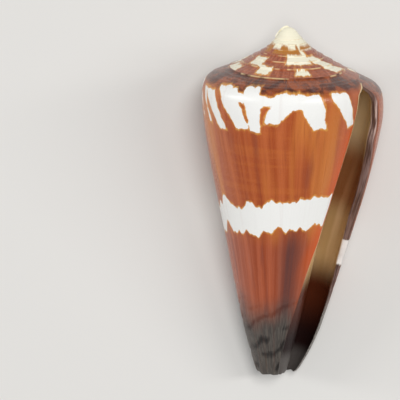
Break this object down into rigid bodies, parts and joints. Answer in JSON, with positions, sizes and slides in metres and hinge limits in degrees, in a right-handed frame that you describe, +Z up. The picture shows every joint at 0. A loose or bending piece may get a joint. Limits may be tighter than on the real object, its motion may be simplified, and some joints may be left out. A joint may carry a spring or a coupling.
{
  "type": "cone shell",
  "caption": "Sea snail shell, a tapering cone with a low stepped spire and a long narrow aperture, lying on its back",
  "frame": {"origin": "on the floor under the middle of the shell's box, with the shell lying on its back", "axes": "+Y towards the spire end along the shell's length, +Z up and the way the aperture faces, +X towards the outer lip"},
  "size_m": [0.0256, 0.0496, 0.0245],
  "materials": {
    "shell": "glossy"
  },
  "bodies": {
    "root": {"shell": "shell"}
  },
  "joints": []
}
